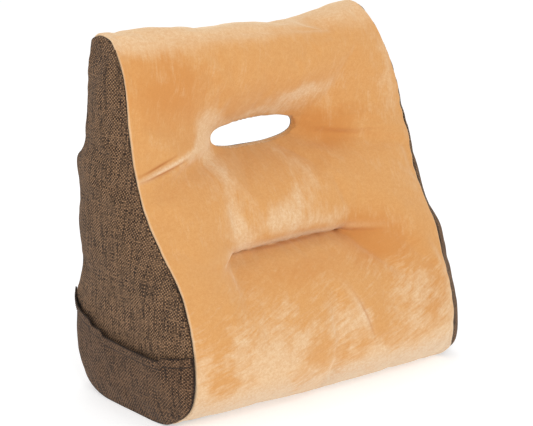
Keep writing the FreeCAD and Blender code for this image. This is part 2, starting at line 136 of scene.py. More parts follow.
def side_outline():
    """The closed left outline as evenly spaced rows, run after run."""
    samples = 24
    runs = [FRONT_RUN, TOP_RUN, BACK_RUN, BASE_RUN]
    dense = closed_curve([point for run in runs for point in run[:-1]], samples)
    rows, first = [], 0
    for run, count in zip(runs, [LENGTHWISE, ACROSS_SIDE] * 2):
        last = first + samples * (len(run) - 1)
        rows.append(evenly(dense[first:last + 1], count)[:-1])
        first = last
    return np.concatenate(rows)


def bump(value, middle, width):
    """A smooth bump of height 1."""
    return np.exp(-((value - middle) / width) ** 2)


def ramp(value, low, high):
    """A smooth rise from 0 at low to 1 at high."""
    share = np.clip((value - low) / (high - low), 0, 1)
    return share * share * (3 - 2 * share)


LEFT = side_outline()
left_y, left_z = LEFT.T
IS_FRONT = np.arange(ROWS) < TOP_START
IS_BACK = (np.arange(ROWS) >= BACK_START) & (np.arange(ROWS) < BASE_START)
# the right seam is drawn further back along the lower front, and lower at the toe
retreat = 9 * bump(left_z, 160, 58) - 9 * bump(left_z, 22, 22) - 4 * bump(left_z, 295, 50)
at_toe = np.clip((-60 - left_y) / 30, 0, 1) * bump(left_z, 18, 22)
RIGHT = np.stack([left_y + np.where(IS_FRONT, retreat, 0), np.maximum(left_z - 9 * at_toe, 0)], 1)
# and further in at its lower front and its top corner
inset = (10 * bump(left_z, 130, 110) * np.clip((60 - left_y) / 100, 0, 1)
         - 7 * bump(left_z, 298, 55) * IS_FRONT + 38 * ramp(left_z, 360, 500))
LEFT_X, RIGHT_X = np.full(ROWS, -SEAM_X), SEAM_X - inset


def outward(points):
    """Unit normals that point out of a closed outline."""
    along = np.roll(points, -1, 0) - np.roll(points, 1, 0)
    side = np.stack([-along[:, 1], along[:, 0]], 1)
    return side / np.linalg.norm(side, axis=1)[:, None]


def slot_gap(x, z):
    """Distance from the slot's rim, a squarish oval, negative inside; and the direction away from it."""
    u, v = np.abs(x) / SLOT_HALF_LENGTH, np.abs(z - SLOT_Z) / SLOT_HALF_HEIGHT
    size = np.maximum((u ** SLOT_SQUARENESS + v ** SLOT_SQUARENESS) ** (1 / SLOT_SQUARENESS), 0.001)
    away_x = np.sign(x) * (u / size) ** (SLOT_SQUARENESS - 1) / SLOT_HALF_LENGTH
    away_z = np.sign(z - SLOT_Z) * (v / size) ** (SLOT_SQUARENESS - 1) / SLOT_HALF_HEIGHT
    steep = np.maximum(np.hypot(away_x, away_z), 1e-6)
    return (size - 1) / steep, away_x / steep, away_z / steep


def line_distance(x, z, level):
    """Distance from the level line of stitches at a height."""
    return np.hypot(np.maximum(np.abs(x - TUFT_X) - TUFT_HALF, 0), z - level)


def crown(rows, x, z):
    """How far the stuffed cloth stands proud of the seams, row by row."""
    on_front = 26 * bump(z, 95, 75) * ramp(z, 0, 50) + 17 * bump(z, 262, 40) + 13 * bump(z, 415, 55)
    on_back = 11 * bump(z, 95, 60) + 11 * bump(z, 258, 50) + 11 * bump(z, 400, 60)
    height = np.where(IS_FRONT[rows], on_front, np.where(IS_BACK[rows], on_back, 0))
    is_top = (rows >= TOP_START) & (rows < BACK_START)
    return np.where(is_top, 3 * bump(np.abs(x), 165, 60), height)


def band_surface():
    """The strip of cloth that runs all the way round, as a grid of points."""
    columns = np.linspace(-1, 1, COLUMNS + 1)
    row, column = np.meshgrid(np.arange(ROWS), np.arange(COLUMNS + 1), indexing="ij")
    share = (columns[column] + 1) / 2
    point, normal = (left[row] * (1 - share[..., None]) + right[row] * share[..., None]
                     for left, right in ((LEFT, RIGHT), (outward(LEFT), outward(RIGHT))))
    x = LEFT_X[row] * (1 - share) + RIGHT_X[row] * share
    rise = crown(row, x, point[..., 1]) * (1 - np.abs(columns[column]) ** 2.4) ** 0.75
    point = point + normal * rise[..., None]
    # the top edge sags on both sides of its middle
    sag = 5 * bump(x, -40, 90) + 9.5 * bump(x, 92, 80)
    return np.stack([x, point[..., 0], point[..., 1] - sag * ramp(point[..., 1], 415, 470)], -1)


def snap_to_slot(rows):
    """Moves the points round the slot's opening onto its outline; returns the points inside it."""
    x, z = grid[rows][..., 0].copy(), grid[rows][..., 2].copy()
    distance = slot_gap(x, z)[0]
    deep = distance < -2.8
    beside = deep.copy()
    for turn in range(2):
        beside[1:] |= beside[:-1].copy()
        beside[:-1] |= beside[1:].copy()
        beside = beside.T.copy()
    near = ((distance < 0) | beside) & ~deep
    for turn in range(4):
        distance, away_x, away_z = slot_gap(x, z)
        x = np.where(near, x - away_x * distance, x)
        z = np.where(near, z - away_z * distance, z)
    grid[rows, :, 0], grid[rows, :, 2] = x, z
    whole = np.zeros(grid.shape[:2], bool)
    whole[rows] = deep
    return whole


def sink(rows, level, share):
    """Draws the rows of cloth towards a level Y by a share from 0 to 1."""
    grid[rows, :, 1] += (level - grid[rows, :, 1]) * share


def sink_at_slot(rows, level, width, power):
    """Draws the cloth round the slot towards a level Y, fading with the distance from the rim."""
    gap = np.maximum(slot_gap(grid[rows][..., 0], grid[rows][..., 2])[0], 0)
    sink(rows, level, np.exp(-(gap / width) ** power))


FRONT_ROWS = slice(2, TOP_START)
BACK_ROWS = slice(BACK_START, BASE_START - 2)
grid = band_surface()
tuft_row = int(np.argmin(np.abs(grid[:TOP_START, COLUMNS // 2, 2] - TUFT_Z)))
inside = snap_to_slot(FRONT_ROWS) | snap_to_slot(BACK_ROWS)
sink_at_slot(FRONT_ROWS, SLOT_FRONT_Y, 34, 1.15)
# the row nearest the stitched line is drawn onto it, with a row close above and below
reach = np.clip((TUFT_HALF + 24 - np.abs(grid[tuft_row, :, 0] - TUFT_X)) / 24, 0, 1)
for row, step in ((tuft_row, 0), (tuft_row - 1, -1.9), (tuft_row + 1, 1.9)):
    grid[row, :, 2] += (TUFT_Z + step - grid[row, :, 2]) * reach
front_x, front_z = grid[FRONT_ROWS][..., 0], grid[FRONT_ROWS][..., 2]
tuft_gap = line_distance(front_x, front_z, TUFT_Z)
lip = 0.86 * np.exp(-(tuft_gap / 34) ** 0.7 - (tuft_gap / 52) ** 2)
slope = 0.94 * np.exp(-(tuft_gap / 34) ** 1.3)
sink(FRONT_ROWS, TUFT_Y - 3, np.where(front_z > TUFT_Z, lip, slope))
grid[tuft_row, :, 1] += 2.2 * reach
sink_at_slot(BACK_ROWS, SLOT_BACK_Y, 44, 1.35)
tuft_gap = line_distance(grid[BACK_ROWS][..., 0], grid[BACK_ROWS][..., 2], BACK_TUFT_Z)
sink(BACK_ROWS, 92, 0.85 * np.exp(-(tuft_gap / 24)))


# ---------------------------------------------------------------------- the whole cover as a mesh
def side_grid(border, bulge, edge, flat_from=500, dent=0.0):
    """A side panel as a grid between the front, top, back and base runs of its outline. It bulges
    out by a height that it reaches within a short way of its seams, and less above a level. A dent
    takes its share of the bulge away at the waist."""
    up, wide = LENGTHWISE, ACROSS_SIDE
    front_run, top_run = border[:up + 1], border[up:up + wide + 1]
    back_run = border[BACK_START:BACK_START + up + 1][::-1]
    base_run = np.concatenate([border[BASE_START:], border[:1]])[::-1]
    v = np.linspace(0, 1, up + 1)[:, None, None]
    w = np.linspace(0, 1, wide + 1)[None, :, None]
    across = (1 - w) * front_run[:, None] + w * back_run[:, None]
    along = (1 - v) * base_run[None] + v * top_run[None]
    corners = ((1 - v) * (1 - w) * base_run[0] + (1 - v) * w * base_run[-1]
               + v * (1 - w) * top_run[0] + v * w * top_run[-1])
    panel = across + along - corners
    span = np.linalg.norm(front_run - back_run, axis=1)[:, None]
    from_end = np.minimum(v[..., 0], 1 - v[..., 0]) * 460
    rise = (1 - np.exp(-w[..., 0] * span / edge)) * (1 - np.exp(-from_end / (1.4 * edge)))
    rise *= 1 - np.exp(-(1 - w[..., 0]) * span / BACK_EDGE)
    rise *= 1 - 0.85 * ramp(panel[..., 2], flat_from, flat_from + 230)
    rise *= 1 - dent * bump(panel[..., 2], 215, 30)
    panel[..., 0] += math.copysign(bulge, border[0, 0]) * rise
    return panel


# the zip: one row of the back on each edge of its opening, level and straight, the cloth taut beside
levels = grid[BACK_START:BASE_START, 0, 2]
upper_zip_row, lower_zip_row = (BACK_START + int(np.argmin(np.abs(levels - (ZIP_Z + step))))
                                for step in (ZIP_WINDOW, -ZIP_WINDOW))
for row in range(upper_zip_row, lower_zip_row + 1):
    part = (row - upper_zip_row) / (lower_zip_row - upper_zip_row)
    grid[row, 1:-1, 2] = ZIP_Z + ZIP_WINDOW * (1 - 2 * part)
taut = np.exp(-(np.maximum(np.abs(grid[BACK_ROWS][..., 2] - ZIP_Z) - ZIP_WINDOW, 0) / 13) ** 2)
sink(BACK_ROWS, COVER_Y, taut * (np.abs(grid[BACK_ROWS][..., 0]) < SEAM_X - 1))

PANELS = ["front_panel", "left_side_panel", "right_side_panel", "back_panel_upper",
          "back_panel_lower", "base_panel"]
FRONT, LEFT_SIDE, RIGHT_SIDE, BACK_UP, BACK_LOW, BASE = range(6)


def band_panel(row):
    """Which panel the strip's cloth belongs to between one row and the next."""
    y, z = LEFT[row]
    if row < BACK_START or (row < BASE_START and z > 464) or (row >= BASE_START and y < -68):
        return FRONT
    if row < upper_zip_row + (lower_zip_row - upper_zip_row) // 2:
        return BACK_UP
    return BACK_LOW if row < BASE_START + 3 else BASE


def border_row(i, j):
    """The outline row that a side panel's border point lies on, or None inside the panel."""
    if j == 0:
        return i
    if j == ACROSS_SIDE:
        return BACK_START + LENGTHWISE - i
    if i == 0:
        return ROWS - j
    return TOP_START + j if i == LENGTHWISE else None


def build_cover():
    """All six panels as one closed mesh, with the points that hold still."""
    width = COLUMNS + 1
    points = [tuple(p) for p in grid.reshape(-1, 3)]
    pinned = np.zeros((ROWS, width), bool)
    pinned[:, 0] = pinned[:, -1] = True
    for rows in (FRONT_ROWS, BACK_ROWS):
        pinned[rows] |= np.abs(slot_gap(grid[rows][..., 0], grid[rows][..., 2])[0]) < 0.6
    pinned[tuft_row] |= np.abs(grid[tuft_row, :, 0] - TUFT_X) < TUFT_HALF + 4
    pinned[upper_zip_row:lower_zip_row + 1] = True
    pinned[BASE_START + 4:ROWS - 4] = True
    faces, panels = [], []
    for row in range(ROWS):
        after = (row + 1) % ROWS
        for column in range(COLUMNS):
            corners = [(row, column), (row, column + 1), (after, column + 1), (after, column)]
            middle_x = (grid[row, column, 0] + grid[row, column + 1, 0]) / 2
            in_zip = upper_zip_row <= row < lower_zip_row and abs(middle_x) < ZIP_HALF + 2
            if not in_zip and not any(inside[corner] for corner in corners):
                faces.append([r * width + c for r, c in corners])
                panels.append(band_panel(row))
    for column, turn, panel, form in ((0, -1, LEFT_SIDE, LEFT_FORM), (COLUMNS, 1, RIGHT_SIDE, RIGHT_FORM)):
        side = side_grid(grid[:, column], **form)
        index = np.zeros(side.shape[:2], int)
        for i, j in np.ndindex(index.shape):
            row = border_row(i, j)
            if row is None:
                index[i, j] = len(points)
                points.append(tuple(side[i, j]))
            else:
                index[i, j] = (row % ROWS) * width + column
        for i, j in np.ndindex(LENGTHWISE, ACROSS_SIDE):
            corners = [index[i, j], index[i, j + 1], index[i + 1, j + 1], index[i + 1, j]]
            faces.append([int(k) for k in corners[::turn]])
            panels.append(panel)
    return points, faces, panels, [int(k) for k in np.flatnonzero(pinned.reshape(-1))]


def new_mesh(name, points, faces, smooth=True):
    """A mesh object from points in millimetres."""
    mesh = bpy.data.meshes.new(name)
    mesh.from_pydata([(x * MM, y * MM, z * MM) for x, y, z in points], [], faces)
    mesh.validate()
    mesh.polygons.foreach_set("use_smooth", [smooth] * len(mesh.polygons))
    obj = bpy.data.objects.new(name, mesh)
    bpy.context.scene.collection.objects.link(obj)
    return obj


def grid_mesh(name, *grids):
    """A cloth surface through one or more grids of points."""
    points, faces = [], []
    for rows in grids:
        height, width = len(rows), len(rows[0])
        first = len(points)
        points += [point for row in rows for point in row]
        faces += [tuple(first + k for k in (a, a + width, a + width + 1, a + 1))
                  for a in (i * width + j for i in range(height - 1) for j in range(width - 1))]
    return new_mesh(name, points, faces)


def vectors(source, attribute):
    """A vector of each element of a mesh's collection, as an array."""
    values = np.zeros(len(source) * 3)
    source.foreach_get(attribute, values)
    return values.reshape(-1, 3)


def coordinates(mesh):
    """A mesh's points, in millimetres."""
    return vectors(mesh.vertices, "co") / MM


def set_coordinates(mesh, values):
    """Writes points in millimetres back to a mesh."""
    mesh.vertices.foreach_set("co", (values * MM).reshape(-1))
    mesh.update()


def edge_ends(mesh):
    """The two points of each edge of a mesh."""
    ends = np.zeros(len(mesh.edges) * 2, int)
    mesh.edges.foreach_get("vertices", ends)
    return ends[0::2], ends[1::2]


def merge_close(obj, distance):
    """Drops loose points and joins points that lie closer together than a distance."""
    mesh = bmesh.new()
    mesh.from_mesh(obj.data)
    loose = [point for point in mesh.verts if not point.link_faces]
    bmesh.ops.delete(mesh, geom=loose, context="VERTS")
    bmesh.ops.remove_doubles(mesh, verts=mesh.verts, dist=distance * MM)
    mesh.to_mesh(obj.data)
    mesh.free()


def inflate(obj, pressure=4.0, frames=20, most=14.0, most_at_sides=7.0):
    """Lets the stuffing press the cloth out between its pins, no further than a limit."""
    start = coordinates(obj.data)
    limit = np.full(len(start), most)
    for polygon in obj.data.polygons:
        if polygon.material_index in (LEFT_SIDE, RIGHT_SIDE):
            limit[list(polygon.vertices)] = most_at_sides
    limit = np.minimum(limit, 3 + 11 * ramp(start[:, 2], 5, 60))
    cloth = obj.modifiers.new("stuffing", "CLOTH")
    for name, value in (("quality", 5), ("mass", 0.25), ("tension_stiffness", 12),
                        ("compression_stiffness", 12), ("shear_stiffness", 6), ("bending_stiffness", 0.6),
                        ("air_damping", 2), ("use_pressure", True), ("uniform_pressure_force", pressure),
                        ("vertex_group_mass", "held"), ("shrink_min", -0.015)):
        setattr(cloth.settings, name, value)
    cloth.settings.effector_weights.gravity = 0
    cloth.collision_settings.use_collision = False
    cloth.collision_settings.use_self_collision = False
    scene = bpy.context.scene
    for step in range(1, frames + 1):
        scene.frame_set(step)
    pushed = obj.evaluated_get(bpy.context.evaluated_depsgraph_get())
    move = coordinates(pushed.data) - start
    obj.modifiers.remove(cloth)
    scene.frame_set(1)
    size = np.linalg.norm(move, axis=1)
    move *= (limit * np.tanh(size / limit) / np.maximum(size, 0.001))[:, None]
    set_coordinates(obj.data, start + move)


def subdivide(obj):
    """Subdivides the object's mesh once, for good."""
    smooth = obj.modifiers.new("smooth", "SUBSURF")
    smooth.levels = smooth.render_levels = 1
    finer = bpy.data.meshes.new_from_object(obj.evaluated_get(bpy.context.evaluated_depsgraph_get()))
    obj.modifiers.remove(smooth)
    obj.data = finer


def panel_marks(mesh):
    """Each point's distance from the nearest seam in mesh steps, 0 on a seam and at most 5."""
    owner = {}
    steps = np.full(len(mesh.vertices), 5)
    for polygon in mesh.polygons:
        for index in polygon.vertices:
            if owner.setdefault(index, polygon.material_index) != polygon.material_index:
                steps[index] = 0
    first, last = edge_ends(mesh)
    for level in (1, 2, 3, 4):
        beside = steps.copy()
        for a, b in ((first, last), (last, first)):
            np.minimum.at(beside, b, np.where(steps[a] == level - 1, level, 5))
        steps = beside
    return steps


def smoothed_normals(mesh, turns=8):
    """A mesh's point normals, each evened out with its neighbours'."""
    out = vectors(mesh.vertex_normals, "vector")
    first, last = edge_ends(mesh)
    for turn in range(turns):
        total = out.copy()
        np.add.at(total, first, out[last])
        np.add.at(total, last, out[first])
        out = total / np.maximum(np.linalg.norm(total, axis=1), 1e-9)[:, None]
    return out


def smooth_noise(points, size, seed):
    """Smooth noise from -1 to 1 at each point, with features of about a given size, which may be
    one number or one for each axis."""
    shift = np.array([13.7, 5.3, 9.1]) * seed
    return np.array([noise.noise(Vector(place)) for place in points / size + shift])


def fold(x, z, start, end, width):
    """A soft ridge along a straight line in the front view, fading at both ends."""
    start, end = np.array(start, float), np.array(end, float)
    line = end - start
    length = np.hypot(*line)
    along = ((x - start[0]) * line[0] + (z - start[1]) * line[1]) / length ** 2
    away = np.abs((x - start[0]) * line[1] - (z - start[1]) * line[0]) / length
    fade = np.clip(along, 0, 1) * np.clip(1 - along, 0, 1) * 4
    return np.exp(-(away / width) ** 2) * fade ** 0.7


# pulls in the velour, from one (x, z) to another, with a width and a height: from the slot's left
# end to the left seam, from its right end to the right, and round the crease
PULLS = [((-226, 306), (-158, 328), 2.4, -2.6), ((-226, 302), (-140, 321), 2.4, -2.6),
         ((-226, 304), (-122, 328), 2.6, 1.8), ((-224, 296), (-185, 309), 1.8, -1.0),
         ((-220, 338), (-100, 340), 6, -1.2), ((74, 334), (218, 322), 5, -1.6),
         ((74, 322), (216, 296), 6, -1.4), ((88, 196), (214, 186), 7, -1.0),
         ((88, 204), (190, 236), 5, -1.0), ((-108, 200), (-190, 168), 6, -1.3),
         ((-96, 214), (-106, 262), 5, -1.4), ((28, 146), (56, 74), 2.6, -0.8),
         ((20, 140), (46, 74), 6, 0.8), ((92, 210), (112, 268), 5, -1.2),
         ((120, 338), (225, 352), 3.5, -1.3), ((130, 318), (225, 308), 3, -1.2)]


def front_details(points):
    """How far the velour stands out or in: pulls, puckers where stitches gather it, fine wrinkles."""
    x, z = points[:, 0], points[:, 2]
    rise = sum(height * fold(x, z, start, end, width) for start, end, width, height in PULLS)
    slot = np.maximum(slot_gap(x, z)[0], 0)
    angle = np.arctan2(z - SLOT_Z, x)
    rise += 0.4 * np.sin(angle * 22 + 3 * np.sin(angle * 5)) * np.exp(-slot / 9)
    rise += 0.6 * np.sin(x / 3.9 + 2 * np.sin(x / 17)) * np.exp(-line_distance(x, z, TUFT_Z) / 7)
    rise += 0.55 * np.sin(z / 3.6 + 2.2 * np.sin(z / 19)) * np.exp(-(SEAM_X - np.abs(x)) / 11)
    rise += 1.6 * smooth_noise(points, 62, 1) + 0.5 * smooth_noise(points, 21, 2)
    beside_slot = bump(z, 318, 34) * bump(x, 165, 60) + 0.7 * bump(z, 300, 40) * bump(x, -170, 50)
    return rise + 1.1 * smooth_noise(points, np.array([70, 40, 9]), 3) * beside_slot


def finish_cover(obj):
    """Puts the seams' grooves and the cloth's own unevenness on the inflated cover."""
    mesh = obj.data
    points = coordinates(mesh)
    steps = panel_marks(mesh)
    is_front = np.zeros(len(points), bool)
    for polygon in mesh.polygons:
        if polygon.material_index == FRONT:
            is_front[list(polygon.vertices)] = True
    near_zip = (points[:, 1] > 100) & (np.abs(points[:, 2] - ZIP_Z) < 18)
    woven_rise = 1.5 * smooth_noise(points, 70, 5) + 0.6 * smooth_noise(points, 24, 6)
    rise = np.where((steps == 0) | near_zip, 0, np.where(is_front, front_details(points), woven_rise))
    groove = np.array([-2.8, -1.2, -0.1, 0.35, 0.3, 0.0])[steps]
    groove = np.where(near_zip & (np.abs(points[:, 0]) < SEAM_X - 12), 0, groove)
    points = points + vectors(mesh.vertex_normals, "vector") * (rise + groove)[:, None]
    points[:, 2] = np.maximum(points[:, 2], 0.4)
    set_coordinates(mesh, points)


def mark_edges(obj):
    """Stores how near each point is to the piece's edge, 1 at the edge, for the materials. The
    slot's rim doesn't count: its cloth turns in without a visible seam."""
    mesh = obj.data
    uses = np.zeros(len(mesh.edges), int)
    loop_edges = np.zeros(len(mesh.loops), int)
    mesh.loops.foreach_get("edge_index", loop_edges)
    np.add.at(uses, loop_edges, 1)
    first, last = edge_ends(mesh)
    near = np.zeros(len(mesh.vertices))
    near[first[uses == 1]] = near[last[uses == 1]] = 1
    for share in (0.6, 0.3):
        beside = near.copy()
        for a, b in ((first, last), (last, first)):
            np.maximum.at(beside, a, share * (near[b] > share))
        near = beside
    points = coordinates(mesh)
    near[slot_gap(points[:, 0], points[:, 2])[0] < 12] = 0
    mesh.attributes.new("edge_nearness", "FLOAT", "POINT").data.foreach_set("value", near)


def part_of(name, points, faces, wanted):
    """A mesh of the faces of some panels, with only the points that they use."""
    index = {}
    quads = [[index.setdefault(vertex, len(index)) for vertex in face]
             for face, panel in faces if panel in wanted]
    return new_mesh(name, [points[vertex] for vertex in index], quads)


def marked_faces(mesh):
    """The faces of the cover, each with the number of its panel."""
    return [(list(polygon.vertices), polygon.material_index) for polygon in mesh.polygons]


def thicken(obj, thickness, offset=-1.0):
    """Gives a cloth surface its thickness, inwards unless told otherwise."""
    solid = obj.modifiers.new("thickness", "SOLIDIFY")
    solid.thickness = thickness * MM
    solid.offset = offset
    solid.use_even_offset = False
    return obj


points, faces, panels, pins = build_cover()
cover = new_mesh("cover", points, faces)
cover.vertex_groups.new(name="held").add(pins, 1.0, "REPLACE")
for name in PANELS:
    cover.data.materials.append(bpy.data.materials.new(f"{name}_mark"))
cover.data.polygons.foreach_set("material_index", panels)
merge_close(cover, 1.2)
inflate(cover)
subdivide(cover)
inner_points, inner_normals = coordinates(cover.data), smoothed_normals(cover.data)
inner_faces = marked_faces(cover.data)
subdivide(cover)
finish_cover(cover)
cover_points, cover_faces = coordinates(cover.data), marked_faces(cover.data)
seam_points = cover_points[panel_marks(cover.data) == 0]
cloth = {}
for number, name in enumerate(PANELS):
    cloth[name] = part_of(f"{name}_cloth", cover_points, cover_faces, (number,))
    mark_edges(cloth[name])
bpy.data.objects.remove(cover)


def inner_layer(name, depth, wanted):
    """A copy of some of the cover's panels at a depth under its surface."""
    return part_of(name, inner_points - inner_normals * depth, inner_faces, wanted)


def closed_filling(name, depth):
    """The filling as one closed form, joined through the slot and across the zip's opening."""
    obj = inner_layer(name, depth, range(len(PANELS)))
    mesh = bmesh.new()
    mesh.from_mesh(obj.data)
    open_edges = [edge for edge in mesh.edges if edge.is_boundary]
    at_slot = [edge for edge in open_edges if abs(edge.verts[0].co.z / MM - SLOT_Z) < 60]
    at_zip = [edge for edge in open_edges if edge.verts[0].co.z / MM < ZIP_Z + 30]
    bmesh.ops.bridge_loops(mesh, edges=at_slot)
    bmesh.ops.holes_fill(mesh, edges=at_zip, sides=0)
    bmesh.ops.triangulate(mesh, faces=[face for face in mesh.faces if len(face.verts) > 4])
    mesh.to_mesh(obj.data)
    mesh.free()
    obj.data.polygons.foreach_set("use_smooth", [True] * len(obj.data.polygons))
    return obj


# --------------------------------------------------------------------------------- materials
class Nodes:
    """A material's node tree, with short ways to add and join nodes."""

    def __init__(self, name):
        self.material = bpy.data.materials.new(name)
        self.material.use_nodes = True
        self.tree = self.material.node_tree
        self.shader = self.tree.nodes["Principled BSDF"]
        self.place = self.add("ShaderNodeTexCoord").outputs["Object"]

    def add(self, kind, inputs=None, **settings):
        """A node with some settings, its inputs set to values or joined to outputs."""
        node = self.tree.nodes.new(kind)
        for key, value in settings.items():
            setattr(node, key, value)
        for key, value in (inputs or {}).items():
            self.feed(node.inputs[key], value)
        return node

    def feed(self, socket, value):
        """Joins an output to a socket, or sets its value."""
        if isinstance(value, bpy.types.NodeSocket):
            self.tree.links.new(value, socket)
        else:
            socket.default_value = value

    def math(self, operation, a, b=0.0):
        """One sum of numbers."""
        return self.add("ShaderNodeMath", {0: a, 1: b}, operation=operation).outputs[0]

    def plus(self, a, *others):
        """The sum of some values."""
        for b in others:
            a = self.math("ADD", a, b)
        return a

    def minus(self, a, b):
        """One value less another."""
        return self.math("SUBTRACT", a, b)

    def times(self, a, b):
        """One value times another."""
        return self.math("MULTIPLY", a, b)

    def over(self, a, b):
        """One value divided by another."""
        return self.math("DIVIDE", a, b)

    def size(self, a):
        """A value without its sign."""
        return self.math("ABSOLUTE", a)

    def parts(self, vector):
        """The x, y and z of a vector."""
        return self.add("ShaderNodeSeparateXYZ", {0: vector}).outputs

    def vector(self, x, y, z=0.0):
        """A vector from its x, y and z."""
        return self.add("ShaderNodeCombineXYZ", {0: x, 1: y, 2: z}).outputs[0]

    def move(self, operation, a, b, c=(0.0, 0.0, 0.0)):
        """One sum of vectors; b and c may be one number for all three axes."""
        b, c = ((value,) * 3 if isinstance(value, float) else value for value in (b, c))
        return self.add("ShaderNodeVectorMath", {0: a, 1: b, 2: c}, operation=operation).outputs[0]

    def strayed(self, scale, detail, reach, middle):
        """The place, led astray by smooth noise times a reach; middle is the noise that counts as none."""
        stray = self.add("ShaderNodeTexNoise", {"Vector": self.place, "Scale": scale, "Detail": detail})
        return self.move("MULTIPLY_ADD", self.move("SUBTRACT", stray.outputs[1], middle), reach, self.place)

    def mix(self, share, a, b):
        """A mix of two colours."""
        node = self.add("ShaderNodeMix", data_type="RGBA")
        for number, value in ((0, share), (6, a), (7, b)):
            self.feed(node.inputs[number], value)
        return node.outputs[2]

    def noise(self, place, scale, detail=3.0, rough=0.55):
        """Noise from 0 to 1."""
        return self.add("ShaderNodeTexNoise", {"Vector": place, "Scale": scale, "Detail": detail,
                                               "Roughness": rough}).outputs[0]

    def span(self, value, low, high):
        """A value mapped from low..high to 0..1 and kept inside."""
        return self.add("ShaderNodeMapRange", {"Value": value, "From Min": low, "From Max": high},
                        clamp=True, interpolation_type="SMOOTHSTEP").outputs[0]

    def near_edge(self):
        """How near a point is to its cloth's sewn edge, from 0 to 1."""
        return self.add("ShaderNodeAttribute", attribute_name="edge_nearness").outputs["Fac"]

    def bump(self, height, strength, distance, below=None):
        """A bump, on top of another if one is given."""
        node = self.add("ShaderNodeBump", {"Height": height, "Strength": strength, "Distance": distance})
        if below is not None:
            self.feed(node.inputs["Normal"], below)
        return node.outputs[0]

    def finish(self, colour, rough, normal=None, **others):
        """Joins up the shader, sets its other inputs by name, and gives the material."""
        others.update(Base_Color=colour, Roughness=rough)
        if normal is not None:
            others["Normal"] = normal
        for name, value in others.items():
            self.feed(self.shader.inputs[name.replace("_", " ")], value)
        return self.material


def linear(red, green, blue):
    """A colour given in everyday 0 to 255 values."""
    def one(value):
        value /= 255
        return value / 12.92 if value <= 0.04045 else ((value + 0.055) / 1.055) ** 2.4
    return one(red), one(green), one(blue), 1.0


def turned(n, x, z, degrees):
    """The place along and across a direction in the front view."""
    cos, sin = math.cos(math.radians(degrees)), math.sin(math.radians(degrees))
    return n.plus(n.times(x, cos), n.times(z, sin)), n.minus(n.times(z, cos), n.times(x, sin))


def patches(n, x, z, *rows):
    """The sum of soft oval patches in the front view: middle, size, turn and strength of each."""
    total = 0.0
    for centre, size, turn, strength in rows:
        along, across = turned(n, n.minus(x, centre[0] * MM), n.minus(z, centre[1] * MM), turn)
        far = n.plus(*(n.math("POWER", n.over(way, half * MM), 2.0)
                       for way, half in ((along, size[0]), (across, size[1]))))
        total = n.plus(total, n.times(n.math("POWER", math.e, n.times(far, -1.0)), strength))
    return total


def brush_marks(n, place, depth, degrees, length, breadth):
    """Streaky noise that runs in a direction of the front view; length and breadth are one streak's."""
    along, across = turned(n, place[0], place[2], degrees)
    return n.noise(n.vector(n.over(along, length * MM), n.over(across, breadth * MM),
                            n.over(depth, length * MM)), 1.0, 4.0, 0.6)


